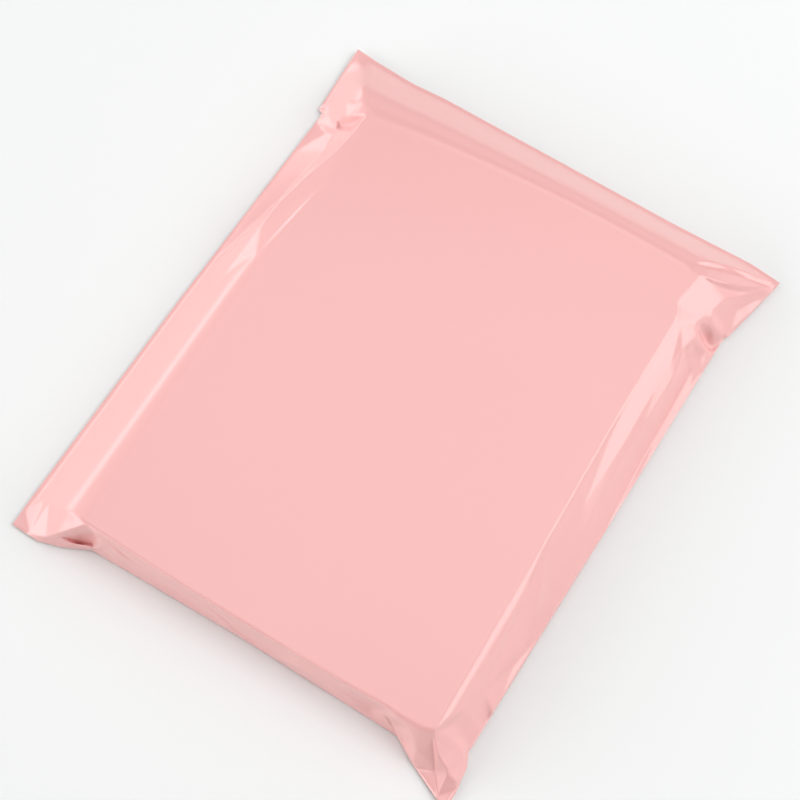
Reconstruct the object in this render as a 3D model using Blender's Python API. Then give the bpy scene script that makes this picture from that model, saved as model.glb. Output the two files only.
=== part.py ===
"""Sealed poly mailer bag with a flat pack of folded goods inside, lying on its back panel.

One film envelope: the flap is folded over to the back and stuck down, the two sides are welded, and
the film is drawn over the goods. The goods stand up as a flat table in the film, the sides slope down
to the welds, the bottom is a steep wall, and the film left over at the corners stands out as four
ears. Metres, +Z up, +Y towards the flap's fold.
"""

import math
from collections import namedtuple

import bmesh
import bpy
import numpy as np
from mathutils import Vector
from mathutils.bvhtree import BVHTree
from mathutils.geometry import delaunay_2d_cdt

MM = 0.001

# The bag as it lies: the fold of the flap is at +Y, the tips of the bottom ears at -Y
BAG_WIDTH = 0.250
BAG_LENGTH = 0.303
FLAP_DEPTH = 0.041
FLAP_PLIES = 0.0006
FLAP_TAPER_LEFT = 0.0025
FLAP_TAPER_RIGHT = 0.0080
SIDE_PULL_LEFT = 0.0055
SIDE_PULL_RIGHT = 0.0095
TIP_PULL = 0.0053

# How far the film's edges stand off the table
FOLD_LIFT = 0.0025
WELD_LIFT = 0.0020
FOOT_LIFT = 0.0003

# The goods inside: a flat pack, a little turned in the bag and out of square
GOODS_WIDTH = 0.1805
GOODS_LENGTH = 0.2477
GOODS_HEIGHT = 0.0250
GOODS_TURN = math.radians(1.85)
GOODS_SKEW = 0.0035
GOODS_X = 0.0033
GOODS_Y = -0.0082
GOODS_BOW_TOP = 0.0045
GOODS_BOW_BOTTOM = 0.0013

# The foot of the bottom wall, out from the goods, and how far the ears reach beyond it
WALL_BATTER = 0.0065
LEFT_EAR_LENGTH = 0.0385
RIGHT_EAR_LENGTH = 0.0355
EAR_FLAT = 0.0147

# Share of each slope that is rounded at its foot and at its shoulder
SIDE_FOOT, SIDE_SHOULDER = 0.10, 0.42
FLAP_FOOT, FLAP_SHOULDER = 0.08, 0.50
WALL_FOOT, WALL_SHOULDER = 0.02, 0.10

# Cells across each stretch of the front film's net, and of the plainer back panel's
SIDE_CELLS = 28
TABLE_COLUMNS = 24
FLAP_CELLS = 16
TABLE_ROWS = 46
WALL_CELLS = 10
BACK_SIDE_CELLS = 6
BACK_COLUMNS = 14
BACK_FLAP_CELLS = 6
BACK_ROWS = 18
BACK_WALL_CELLS = 4

# The least height of the front film over the back panel, and how far in from its rim a gather
# reaches its full height
FILM_GAP = 0.0002
GATHER_MARGIN = 0.0015

PINK_FILM = (0.93, 0.52, 0.50, 1.0)
FILM_ROUGHNESS = 0.38

# A part of the film that is drawn taut over creases: an origin with two arms, and in shares of these
# arms a rim, where the film stays as it lies, and creases with their height above the table in mm
Gather = namedtuple("Gather", "origin across along rim creases")


def even(cells):
    return np.linspace(0, 1, cells + 1)


def eased(cells):
    """Shares that lie close together at both ends, where the corners of the goods are."""
    share = even(cells)
    return 0.45 * share + 0.55 * (0.5 - 0.5 * np.cos(math.pi * share))


def ramp(share, foot, shoulder):
    """0 to 1 with a straight middle, rounded over the given shares at its foot and its shoulder."""
    share = np.clip(share, 0, 1)
    slope = 1 / (1 - foot / 2 - shoulder / 2)
    straight = slope * (share - foot / 2)
    low = slope * share**2 / (2 * foot)
    high = 1 - slope * (1 - share) ** 2 / (2 * shoulder)
    return np.where(share < foot, low, np.where(share > 1 - shoulder, high, straight))


def span(points, shares):
    """Points along a polyline, at shares of its length."""
    points = np.array(points, float)
    runs = np.linalg.norm(np.diff(points, axis=0), axis=1)
    along = np.concatenate([[0], np.cumsum(runs)]) / runs.sum()
    return np.stack([np.interp(shares, along, points[:, axis]) for axis in range(3)], axis=1)


def bowed(start, end, bow, shares):
    """A line that bows along +Y between two places."""
    straight = np.array(start) + shares[:, None] * (np.array(end) - np.array(start))
    straight[:, 1] += 4 * bow * shares * (1 - shares)
    return straight


def line(*spans):
    """Spans joined end to end."""
    return np.concatenate([spans[0]] + [later[1:] for later in spans[1:]])


def coons(first_row, last_row, first_column, last_column, across, down):
    """A patch of net stretched between its four edges."""
    s = across[None, :, None]
    t = down[:, None, None]
    rows = (1 - t) * first_row[None] + t * last_row[None]
    columns = (1 - s) * first_column[:, None] + s * last_column[:, None]
    corners = (1 - t) * ((1 - s) * first_row[0] + s * first_row[-1]) + t * (
        (1 - s) * last_row[0] + s * last_row[-1]
    )
    return rows + columns - corners


def net(rows, columns, across, down):
    """Nine patches between four lines across the bag and four lines along it."""
    x_stops = np.cumsum([0] + [len(part) - 1 for part in across])
    y_stops = np.cumsum([0] + [len(part) - 1 for part in down])
    grid = np.empty((y_stops[-1] + 1, x_stops[-1] + 1, 3))
    for j in range(3):
        ys = slice(y_stops[j], y_stops[j + 1] + 1)
        for i in range(3):
            xs = slice(x_stops[i], x_stops[i + 1] + 1)
            grid[ys, xs] = coons(
                rows[j][xs], rows[j + 1][xs], columns[i][ys], columns[i + 1][ys], across[i], down[j]
            )
    return grid


def goods_corner(side, end):
    """A corner of the goods: side is -1 left or 1 right, end is -1 bottom or 1 at the flap."""
    x = side * GOODS_WIDTH / 2
    y = end * GOODS_LENGTH / 2
    turned_x = x * math.cos(GOODS_TURN) - y * math.sin(GOODS_TURN)
    turned_y = x * math.sin(GOODS_TURN) + y * math.cos(GOODS_TURN)
    skew = side * GOODS_SKEW if end > 0 else 0
    return np.array([GOODS_X + turned_x, GOODS_Y + turned_y + skew, 0])


def beside(point, right=0, up=0, height=0):
    """A place given in millimetres from another one."""
    return np.array(point) + np.array([right, up, height]) * MM


def outline():
    """The named places of the bag's edge and of the goods' corners."""
    half = BAG_WIDTH / 2
    fold = BAG_LENGTH / 2
    flap_end = fold - FLAP_DEPTH
    left = SIDE_PULL_LEFT - half
    right = half - SIDE_PULL_RIGHT
    goods = {
        "top_left": goods_corner(-1, 1),
        "top_right": goods_corner(1, 1),
        "bottom_left": goods_corner(-1, -1),
        "bottom_right": goods_corner(1, -1),
    }
    tip_left = np.array([TIP_PULL - half, -fold, WELD_LIFT])
    tip_right = np.array([half - TIP_PULL, -fold, WELD_LIFT])

    def foot(x):
        ends = goods["bottom_left"], goods["bottom_right"]
        y = np.interp(x, [end[0] for end in ends], [end[1] for end in ends])
        return np.array([x, y - WALL_BATTER, FOOT_LIFT])

    return goods | {
        "fold_left": np.array([-half, fold, FOLD_LIFT]),
        "fold_right": np.array([half, fold, FOLD_LIFT]),
        "flap_left": np.array([FLAP_TAPER_LEFT - half, flap_end, WELD_LIFT]),
        "flap_right": np.array([half - FLAP_TAPER_RIGHT, flap_end + 2 * MM, WELD_LIFT]),
        "weld_left": np.array([left, flap_end - 7 * MM, WELD_LIFT]),
        "weld_right": np.array([right, flap_end - 9 * MM, WELD_LIFT]),
        "low_left": beside([left, goods["bottom_left"][1], WELD_LIFT], -0.6, -1),
        "low_right": beside([right, goods["bottom_right"][1], WELD_LIFT], 2.4, -2),
        "tip_left": tip_left,
        "tip_right": tip_right,
        "ear_left": beside(tip_left, EAR_FLAT / MM),
        "ear_right": beside(tip_right, -6.5, 2.2),
        "foot_left": foot(tip_left[0] + LEFT_EAR_LENGTH),
        "foot_right": foot(tip_right[0] - RIGHT_EAR_LENGTH),
    }


def edges_of_the_bag(at, across, down):
    """The four outer lines, which the front and the back film share."""
    crest = beside(at["fold_left"], 36, -2.4, 0.6)
    fold = line(
        span([at["fold_left"], beside(at["fold_left"], 13, -1.2)], across[0]),
        span(
            [
                beside(at["fold_left"], 13, -1.2),
                crest,
                beside(at["fold_left"], 55, -1.3, 0.9),
                beside(at["fold_right"], -60, -0.4, 0.9),
                beside(at["fold_right"], -17, 1.4, 0.3),
                beside(at["fold_right"], -4, 0.5),
            ],
            across[1],
        ),
        span([beside(at["fold_right"], -4, 0.5), at["fold_right"]], across[2]),
    )
    bottom = line(
        span([at["tip_left"], at["ear_left"]], across[0]),
        span(
            [
                at["ear_left"],
                beside(at["ear_left"], 11, 3.6, -1),
                at["foot_left"],
                beside((at["foot_left"] + at["foot_right"]) / 2, 0, 1.2),
                at["foot_right"],
                beside(at["foot_right"], 11.5, -6.2, 0.7),
                at["ear_right"],
            ],
            across[1],
        ),
        span([at["ear_right"], at["tip_right"]], across[2]),
    )
    left = line(
        span([at["fold_left"], at["flap_left"]], down[0]),
        span(
            [
                at["flap_left"],
                beside(at["flap_left"], 2.9, -1.2),
                at["weld_left"],
                beside((at["weld_left"] + at["low_left"]) / 2, -0.8),
                at["low_left"],
            ],
            down[1],
        ),
        span([at["low_left"], at["tip_left"]], down[2]),
    )
    right = line(
        span([at["fold_right"], beside(at["flap_right"], 2.9, 14), at["flap_right"]], down[0]),
        span(
            [
                at["flap_right"],
                beside(at["flap_right"], -1.4, -1.6),
                at["weld_right"],
                beside((at["weld_right"] + at["low_right"]) / 2, -1.2),
                beside(at["low_right"], -2.8, 10),
                beside(at["low_right"], -3.1, 6.4),
                at["low_right"],
            ],
            down[1],
        ),
        span([at["low_right"], beside(at["tip_right"], -0.3, 9), at["tip_right"]], down[2]),
    )
    return fold, bottom, left, right


def front_film(at, outer, across, down):
    """The plan of the front film, and the height that the goods lift it to."""
    fold, bottom, left, right = outer
    top_row = line(
        span([at["flap_left"], at["top_left"]], across[0]),
        bowed(at["top_left"], at["top_right"], GOODS_BOW_TOP, across[1]),
        span([at["top_right"], at["flap_right"]], across[2]),
    )
    low_row = line(
        span([at["low_left"], at["bottom_left"]], across[0]),
        bowed(at["bottom_left"], at["bottom_right"], -GOODS_BOW_BOTTOM, across[1]),
        span([at["bottom_right"], at["low_right"]], across[2]),
    )
    left_column = line(
        span([fold[len(across[0]) - 1], at["top_left"]], down[0]),
        span([at["top_left"], at["bottom_left"]], down[1]),
        span([at["bottom_left"], at["ear_left"]], down[2]),
    )
    right_column = line(
        span([fold[-len(across[2])], at["top_right"]], down[0]),
        span([at["top_right"], at["bottom_right"]], down[1]),
        span([at["bottom_right"], at["ear_right"]], down[2]),
    )
    film = net(
        [fold, top_row, low_row, bottom], [left, left_column, right_column, right], across, down
    )
    side = np.concatenate(
        [
            ramp(across[0], SIDE_FOOT, SIDE_SHOULDER),
            np.ones(len(across[1]) - 2),
            ramp(1 - across[2], SIDE_FOOT, SIDE_SHOULDER),
        ]
    )
    end = np.concatenate(
        [
            ramp(down[0], FLAP_FOOT, FLAP_SHOULDER),
            np.ones(len(down[1]) - 2),
            ramp(1 - down[2], WALL_FOOT, WALL_SHOULDER),
        ]
    )
    film[:, :, 2] += GOODS_HEIGHT * end[:, None] * side[None, :]
    return film


def back_film(at, outer, across, down):
    """The back panel: flat under the goods, stepping out where the flap lies over it."""
    fold, bottom, left, right = outer
    inset = 12 * MM
    step = 0.3 * MM
    flap_left = beside(at["flap_left"], inset / MM, 0, -(WELD_LIFT - FLAP_PLIES / 4) / MM)
    flap_right = beside(at["flap_right"], -inset / MM, 0, -(WELD_LIFT - FLAP_PLIES / 4) / MM)
    base_left = beside(at["low_left"], inset / MM, 4, -WELD_LIFT / MM)
    base_right = beside(at["low_right"], -inset / MM, 4, -WELD_LIFT / MM)
    flap_row = line(
        span([at["flap_left"], flap_left], across[0]),
        span([flap_left, flap_right], across[1]),
        span([flap_right, at["flap_right"]], across[2]),
    )
    base_row = line(
        span([at["low_left"], base_left], across[0]),
        span([base_left, base_right], across[1]),
        span([base_right, at["low_right"]], across[2]),
    )
    left_column = line(
        span([fold[len(across[0]) - 1], flap_left], down[0]),
        span([flap_left, base_left], down[1]),
        span([base_left, at["ear_left"]], down[2]),
    )
    right_column = line(
        span([fold[-len(across[2])], flap_right], down[0]),
        span([flap_right, base_right], down[1]),
        span([base_right, at["ear_right"]], down[2]),
    )
    film = net(
        [fold, flap_row, base_row, bottom], [left, left_column, right_column, right], across, down
    )
    edge = len(down[0]) - 1
    film[edge + 1, 1:-1, :2] = film[edge, 1:-1, :2] - np.array([0, step])
    flap_cover = np.minimum(1, np.arange(film.shape[1]) / 3)
    flap_cover = np.minimum(flap_cover, flap_cover[::-1])
    film[edge + 1, 1:-1, 2] = film[edge, 1:-1, 2] + (FLAP_PLIES * flap_cover)[1:-1]
    table = slice(edge + 3, edge + len(down[1]))
    film[table, len(across[0]) - 1 : -(len(across[2]) - 1), 2] = 0
    return film


def gathers(at):
    """The film's gathers: the four ears, the break along the right slope, and the bottom wall."""

    def ear(goods, corner):
        origin, tip = at[goods][:2], at[corner][:2]
        return origin, np.array([tip[0], origin[1]]), np.array([origin[0], tip[1]])

    wall_foot = at["bottom_left"][:2] - np.array([0, WALL_BATTER])
    top_left = Gather(
        *ear("top_left", "fold_left"),
        [(-0.05, 0.1), (0.2, 0.16), (0.5, 0.16), (0.8, 0.12), (0.96, 0.1), "flap_left", (0.84, -0.03),
         "weld_left", (0.81, -0.59), (0.82, -1.05), (0.85, -1.54), (0.8, -2.4), (0.42, -2.6),
         (0.1, -2.2), (-0.1, -1), (-0.12, -0.1)],
        [
            # The flap's lower edge, and the tab that turns under it
            [(0.84, -0.03), (0.686, -0.027, 6), (0.507, -0.059, 11.5), (0.335, -0.062, 17),
             (0.212, -0.033, 21.5), (0.03, 0.01, 25)],
            [(0.686, -0.027, 6), (0.405, -0.194, 11), "weld_left"],
            # The valley from the tab to the corner of the goods
            [(0.405, -0.194, 11), (0.402, -0.103, 9.5), (0.233, -0.082, 15), (0.124, -0.035, 20),
             (0.03, 0.01, 25)],
            # The crease that leaves the corner and runs down the slope
            [(0.03, 0.01, 25), (0.041, -0.28, 24.9), (0.064, -0.446, 24.6), (0.128, -0.687, 23.8),
             (0.234, -0.961, 22.8), (0.349, -1.431, 21.3), (0.37, -1.78, 20.2), (0.42, -2.6)],
            # The foot of its steep side, and the hollow below the tab
            [(0.405, -0.194, 11), (0.378, -0.479, 9.5), (0.454, -0.864, 8), (0.491, -1.249, 7),
             (0.8, -2.4)],
            [(0.549, -0.26, 5.5), (0.545, -0.397, 5)],
        ],
    )
    slope = Gather(
        at["top_right"][:2], at["weld_right"][:2], at["bottom_right"][:2],
        [(0.1, 0.05), (0.42, 0.08), (0.8, 0.04), (0.93, 0.09), (0.94, 0.3), (0.9, 0.6), (0.8, 0.85),
         (0.4, 0.86), (0.05, 0.6), (0.03, 0.3)],
        [
            # The break, the foot of its steep side, and the span behind it
            [(0.42, 0.08), (0.53, 0.119, 18), (0.58, 0.148, 17.3), (0.557, 0.202, 17),
             (0.52, 0.278, 16.5), (0.512, 0.356, 16.5), (0.512, 0.434, 16), (0.525, 0.518, 15),
             (0.559, 0.581, 13.5), (0.59, 0.638, 11), (0.615, 0.701, 7.5), (0.625, 0.766, 4.5),
             (0.8, 0.85)],
            [(0.8, 0.04), (0.772, 0.082, 3.6), (0.799, 0.135, 3.3), (0.806, 0.218, 2.8),
             (0.8, 0.29, 2.4), (0.9, 0.6)],
            [(0.404, 0.142, 20.5), (0.389, 0.208, 20), (0.389, 0.3, 19.8), (0.355, 0.39, 19.5),
             (0.328, 0.476, 19.3), (0.323, 0.57, 19)],
        ],
    )
    top_right = Gather(
        *ear("top_right", "fold_right"),
        [(-0.1, 0.04), (-0.17, 0.16), (0.3, 0.62), (0.9, 0.95), (0.99, 0.72), (0.9, 0.1), "flap_right",
         (0.74, -0.4), "weld_right", (0.74, -1.1), (0.66, -1.3), (0.34, -1.14), (0.12, -0.9),
         (-0.03, -0.6)],
        [
            # The valley beside the wing's upper ridge, and that ridge
            [(-0.17, 0.16), (-0.023, 0.17, 23.5), (0.278, 0.416, 17), (0.624, 0.677, 8.5),
             (0.908, 0.833, 3)],
            [(-0.1, 0.04), (0.05, 0.03, 25), (0.194, 0.094, 24), (0.406, 0.225, 20), (0.62, 0.424, 14),
             (0.835, 0.675, 7.5)],
            # The hollow between the wing's two ridges
            [(0.05, 0.03, 25), (0.233, 0.034, 22), (0.537, 0.264, 14), (0.73, 0.493, 9.5),
             (0.835, 0.675, 7.5)],
            # The lower ridge, back from the wing's end to the pocket
            [(0.835, 0.675, 7.5), (0.724, 0.435, 9.5), (0.628, 0.263, 12), (0.504, 0.032, 16),
             (0.476, -0.091, 17), (0.435, -0.288, 18), (0.461, -0.406, 17.5), (0.365, -0.493, 19.5),
             (0.33, -0.662, 20.5)],
            # The film outside it, and the flap's edge over the pocket
            [(0.789, 0.36, 5), (0.689, 0.099, 7), (0.602, -0.249, 8.5)],
            [(0.33, -0.662, 20.5), (0.541, -0.512, 12.5), (0.685, -0.398, 6), "flap_right"],
            # The pocket, and its lip
            [(0.397, -0.65, 16), (0.498, -0.587, 10), (0.627, -0.515, 4), (0.74, -0.4)],
            [(0.511, -0.698, 11), (0.619, -0.677, 4.5), (0.704, -0.663, 2.4)],
            [(0.33, -0.662, 20.5), (0.419, -0.751, 17.5), (0.523, -0.785, 13), (0.638, -0.787, 7),
             "weld_right"],
            # The arch that the break of the slope starts from
            [(0.34, -1.14), (0.392, -1.011, 18.8), (0.462, -0.904, 16.8), (0.568, -0.822, 11)],
            [(0.459, -1.161, 14), (0.502, -1.003, 10), (0.584, -0.873, 4.5)],
        ],
    )
    wall = Gather(
        at["bottom_left"][:2], at["bottom_right"][:2], wall_foot,
        [(0.02, 0.02), (0.3, 0.17), (0.6, 0.19), (0.8, 0.14), (0.9, 0.08), (0.89, 0.5), (0.86, 0.98),
         (0.75, 0.98), (0.5, 0.98), (0.25, 0.98), (0.1, 0.97), (0.05, 0.55)],
        [
            [(0.05, 0.55), (0.106, 0.543, 18), (0.164, 0.523, 15.5), (0.221, 0.503, 13),
             (0.31, 0.636, 7.5), (0.37, 0.749, 4)],
            [(0.428, 0.757, 8), (0.474, 0.647, 6), (0.555, 0.845, 3)],
            [(0.616, 0.315, 21.5), (0.637, 0.358, 21.5), (0.749, 0.238, 22), (0.817, 0.116, 22),
             (0.863, 0.128, 20)],
            [(0.644, 0.726, 16), (0.757, 0.611, 17), (0.851, 0.277, 17)],
        ],
    )
    bottom_right = Gather(
        *ear("bottom_right", "tip_right"),
        [(-0.173, 0.062), (-0.33, 0.1), (-0.43, 0.15), "foot_right", (-0.05, 0.64), "ear_right",
         (0.93, 0.95), (0.98, 0.48), "low_right", (0.79, -0.19), (0.8, -0.75), (0.3, -0.8),
         (0.01, -0.05)],
        [
            # The edge of the goods' corner, the wall's last ridge, and the ridge down from the corner
            [(-0.173, 0.062), (0.01, -0.05)],
            [(-0.43, 0.15), (-0.923, 0.164, 10), "foot_right"],
            [(-0.173, 0.062), (-0.13, 0.372, 14), (-0.05, 0.64)],
            # The fold across the ear, and the valley down its middle
            [(0.18, 0.163, 12), (0.092, 0.422, 8), (-0.05, 0.64)],
            [(0.01, -0.05), (0.18, 0.163, 12), (0.426, 0.464, 4.5), (0.712, 0.835, 1.8), "ear_right"],
            # The petal's two rims, and the slope's hollow behind it
            [(0.01, -0.05), (0.131, 0.081, 19.5), (0.344, 0.279, 15), (0.654, 0.395, 10.5),
             (0.91, 0.456, 5.5), (0.98, 0.48)],
            [(0.01, -0.05), (0.343, -0.15, 18.5), (0.621, -0.175, 10), (0.79, -0.19)],
            [(0.3, -0.8), (0.341, -0.418, 15.5), (0.641, -0.304, 6), (0.79, -0.19)],
        ],
    )
    bottom_left = Gather(
        *ear("bottom_left", "tip_left"),
        [(0, 0), (0.15, -0.02), (0.3, -0.02), (0.45, -0.02), (0.6, -0.02), (0.75, 0), (0.9, 0.05),
         (0.93, 0.5), (0.85, 0.99), "ear_left", (0.4, 0.78), (0.15, 0.58), "foot_left", (-0.2, 0.45),
         (-0.2, 0.1)],
        [
            # The ear's ridge, and the end of the wall that overlaps it
            [(0, 0), (0.119, 0.22, 20), (0.22, 0.391, 15), (0.374, 0.647, 9), (0.502, 0.824, 5),
             "ear_left"],
            [(0, 0), (-0.048, 0.108, 19.5), (0.15, 0.373, 9.5), "foot_left"],
            # The pocket beside it
            [(0.224, 0.481, 5), (0.114, 0.454, 1.8), (0.003, 0.431, 0.8)],
        ],
    )
    return [top_left, slope, top_right, wall, bottom_right, bottom_left]


def height_over(film):
    """A function that gives the height of a film above a place of the plan."""
    rows, columns = film.shape[:2]
    faces = [
        (j * columns + i, (j + 1) * columns + i, (j + 1) * columns + i + 1, j * columns + i + 1)
        for j in range(rows - 1)
        for i in range(columns - 1)
    ]
    tree = BVHTree.FromPolygons([Vector(place) for place in film.reshape(-1, 3)], faces)

    def height(place):
        above = Vector((place[0], place[1], 1))
        met = tree.ray_cast(above, Vector((0, 0, -1)))[0]
        return met.z if met else tree.find_nearest(above - Vector((0, 0, 1)))[0].z

    return height


def gathered(film, parts, at):
    """The film with each of its gathers drawn taut in turn."""
    for part in parts:
        height = height_over(film)

        def placed(mark):
            if isinstance(mark, str):
                return np.array(at[mark])
            plan = part.origin + mark[0] * (part.across - part.origin)
            plan = plan + mark[1] * (part.along - part.origin)
            return np.array([*plan, mark[2] * MM if len(mark) > 2 else height(plan)])

        rim = [placed(mark) for mark in part.rim]
        places = list(rim)
        runs = [(k, (k + 1) % len(rim)) for k in range(len(rim))]
        for crease in part.creases:
            first = len(places)
            places += [placed(mark) for mark in crease]
            runs += [(k, k + 1) for k in range(first, len(places) - 1)]
        flat = [Vector(place[:2]) for place in places]
        corners, _, faces, origins = delaunay_2d_cdt(flat, runs, [], 1, 1e-6)[:4]
        heights = np.array(
            [places[found[0]][2] if found else height(spot) for spot, found in zip(corners, origins)]
        )
        corners = np.array([spot[:] for spot in corners])
        plan = film[:, :, :2]
        taut = np.full(film.shape[:2], np.nan)
        for face in faces:
            a, b, c = corners[face]
            turn = np.linalg.inv(np.array([b - a, c - a]).T)
            weights = (plan - a) @ turn.T
            inside = (weights.min(axis=2) >= -1e-6) & (weights.sum(axis=2) <= 1 + 1e-6)
            rise = heights[face[0]] + weights @ (heights[face[1:]] - heights[face[0]])
            taut[inside] = rise[inside]
        away = np.full(film.shape[:2], np.inf)
        for start, end in zip(rim, rim[1:] + rim[:1]):
            run = end[:2] - start[:2]
            share = np.clip(((plan - start[:2]) @ run) / (run @ run), 0, 1)
            gap = np.linalg.norm(plan - start[:2] - share[..., None] * run, axis=2)
            away = np.minimum(away, gap)
        blend = np.clip(away / GATHER_MARGIN, 0, 1)
        blend[[0, -1], :] = 0
        blend[:, [0, -1]] = 0
        inside = np.isfinite(taut)
        film[inside, 2] += (blend * (taut - film[:, :, 2]))[inside]
    return film


def eased_off(film):
    """Rounds the creases of a film a little."""
    height = film[:, :, 2]
    height[1:-1] = height[1:-1] / 2 + (height[:-2] + height[2:]) / 4
    height[:, 1:-1] = height[:, 1:-1] / 2 + (height[:, :-2] + height[:, 2:]) / 4


def keep_apart(front, back):
    """Lifts the front film wherever it would touch the back panel."""
    height = height_over(back)
    for row in front[1:-1, 1:-1]:
        for place in row:
            place[2] = max(place[2], height(place) + FILM_GAP)


def mesh_of(front, back):
    """One closed mesh: the net of the front film, and a back panel stretched inside its edge."""
    rows, columns = front.shape[:2]
    mesh = bmesh.new()
    net_of = [[mesh.verts.new(front[j, i]) for i in range(columns)] for j in range(rows)]
    for j in range(rows - 1):
        for i in range(columns - 1):
            ring = ((j, i), (j + 1, i), (j + 1, i + 1), (j, i + 1))
            mesh.faces.new([net_of[row][column] for row, column in ring])
    rim = net_of[0] + [row[-1] for row in net_of[1:-1]] + net_of[-1][::-1]
    rim += [row[0] for row in net_of[-2:0:-1]]
    inner = back[1:-1, 1:-1].reshape(-1, 3)
    flat = [vert.co.to_2d() for vert in rim] + [Vector(place[:2]) for place in inner]
    runs = [(k, (k + 1) % len(rim)) for k in range(len(rim))]
    spots, _, faces, origins = delaunay_2d_cdt(flat, runs, [], 1, 1e-9)[:4]
    panel = []
    for spot, found in zip(spots, origins):
        if found and found[0] < len(rim):
            panel.append(rim[found[0]])
        else:
            panel.append(mesh.verts.new((*spot, inner[found[0] - len(rim)][2])))
    for face in faces:
        mesh.faces.new([panel[k] for k in reversed(face)])
    return mesh


def film_material():
    material = bpy.data.materials.new("pink_film")
    material.use_nodes = True
    shader = material.node_tree.nodes["Principled BSDF"]
    shader.inputs["Base Color"].default_value = PINK_FILM
    shader.inputs["Roughness"].default_value = FILM_ROUGHNESS
    shader.inputs["Metallic"].default_value = 0.0
    return material


def make_bag():
    across = [even(SIDE_CELLS), eased(TABLE_COLUMNS), even(SIDE_CELLS)]
    down = [even(FLAP_CELLS), eased(TABLE_ROWS), even(WALL_CELLS)]
    back_across = [even(BACK_SIDE_CELLS), eased(BACK_COLUMNS), even(BACK_SIDE_CELLS)]
    back_down = [even(BACK_FLAP_CELLS), eased(BACK_ROWS), even(BACK_WALL_CELLS)]
    at = outline()
    front = front_film(at, edges_of_the_bag(at, across, down), across, down)
    gathered(front, gathers(at), at)
    eased_off(front)
    back = back_film(at, edges_of_the_bag(at, back_across, back_down), back_across, back_down)
    keep_apart(front, back)
    middle = (front.reshape(-1, 3).min(axis=0) + front.reshape(-1, 3).max(axis=0)) / 2
    middle[2] = 0
    mesh = mesh_of(front - middle, back - middle)
    data = bpy.data.meshes.new("mailer_bag")
    mesh.to_mesh(data)
    mesh.free()
    data.shade_smooth()
    data.set_sharp_from_angle(angle=math.radians(50))
    data.materials.append(film_material())
    bag = bpy.data.objects.new("mailer_bag", data)
    bpy.context.scene.collection.objects.link(bag)
    return bag


for old in list(bpy.data.objects):
    bpy.data.objects.remove(old, do_unlink=True)
make_bag()
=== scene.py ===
"""Looks of a sealed poly mailer bag: its creased satin film, and a plain stage."""

import math
from collections import namedtuple

import bmesh
import bpy
import numpy as np
from bpy.props import FloatProperty, FloatVectorProperty, IntProperty, PointerProperty
from mathutils import Matrix, Vector
from mathutils.bvhtree import BVHTree
from mathutils.geometry import delaunay_2d_cdt


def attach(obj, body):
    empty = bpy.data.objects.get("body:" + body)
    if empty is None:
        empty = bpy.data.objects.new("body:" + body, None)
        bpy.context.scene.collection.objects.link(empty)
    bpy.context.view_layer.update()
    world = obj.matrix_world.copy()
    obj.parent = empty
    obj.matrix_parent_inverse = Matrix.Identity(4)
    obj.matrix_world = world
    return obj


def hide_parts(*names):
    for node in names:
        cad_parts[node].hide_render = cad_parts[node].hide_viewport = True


bl_info = {
    "name": "Poly mailer bag",
    "version": (1, 0, 0),
    "blender": (4, 5, 0),
    "location": "3D View > Sidebar > Mailer",
    "description": "Creased film, welds and stage for a sealed poly mailer bag",
    "category": "Object",
}

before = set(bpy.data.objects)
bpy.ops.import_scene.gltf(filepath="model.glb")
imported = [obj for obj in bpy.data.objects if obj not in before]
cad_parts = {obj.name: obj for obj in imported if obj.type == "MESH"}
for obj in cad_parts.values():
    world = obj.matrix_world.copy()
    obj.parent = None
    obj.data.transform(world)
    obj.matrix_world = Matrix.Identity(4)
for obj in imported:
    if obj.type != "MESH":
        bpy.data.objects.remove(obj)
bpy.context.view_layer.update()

MM = 0.001
NODE = "mailer_bag"
BODY = "root"

# The bag as it lies, the same sizes as its solid has
BAG_WIDTH = 0.250
BAG_LENGTH = 0.303
FLAP_DEPTH = 0.041
FLAP_PLIES = 0.0006
FLAP_TAPER_LEFT = 0.0025
FLAP_TAPER_RIGHT = 0.0080
FLAP_RISE_RIGHT = 0.0020
SIDE_PULL_LEFT = 0.0055
SIDE_PULL_RIGHT = 0.0095
TIP_PULL = 0.0053
WELD_START_LEFT = 0.0070
WELD_START_RIGHT = 0.0090
FOLD_LIFT = 0.0025
WELD_LIFT = 0.0020
FOOT_LIFT = 0.0003
GOODS_WIDTH = 0.1805
GOODS_LENGTH = 0.2477
GOODS_HEIGHT = 0.0250
GOODS_TURN = math.radians(1.85)
GOODS_SKEW = 0.0035
GOODS_X = 0.0033
GOODS_Y = -0.0082
GOODS_BOW_TOP = 0.0045
GOODS_BOW_BOTTOM = 0.0013
WALL_BATTER = 0.0065
LEFT_EAR_LENGTH = 0.0385
RIGHT_EAR_LENGTH = 0.0355
EAR_FLAT = 0.0147

# The back panel: how far in from its edge it lies flat, and the step of the flap's edge across it
BACK_INSET = 0.012
BACK_INSET_LOW = 0.004
FLAP_EDGE_STEP = 0.0003
FLAP_EDGE_CELLS = 3

# Share of each slope that is rounded at its foot and at its shoulder
SIDE_FOOT, SIDE_SHOULDER = 0.10, 0.42
FLAP_FOOT, FLAP_SHOULDER = 0.08, 0.50
WALL_FOOT, WALL_SHOULDER = 0.02, 0.10

# The least height of the front film over the back panel
FILM_GAP = 0.0002
# How far in from its rim a gather reaches its full height
GATHER_MARGIN = 0.0015
# Creases sharper than this keep their edge
SHARP_ANGLE = math.radians(50)

# How much of a net's spacing over the goods is even, and how much closes up at their corners
EVEN_SHARE, CORNER_SHARE = 0.45, 0.55
# Cells of the back panel's plainer net, across the bag and along it
BACK_CELLS_ACROSS = (8, 30, 8)
BACK_CELLS_DOWN = (8, 36, 4)
# Marks closer together than this are one place
SAME_MARK = 1e-6
SAME_CORNER = 1e-9

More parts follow.
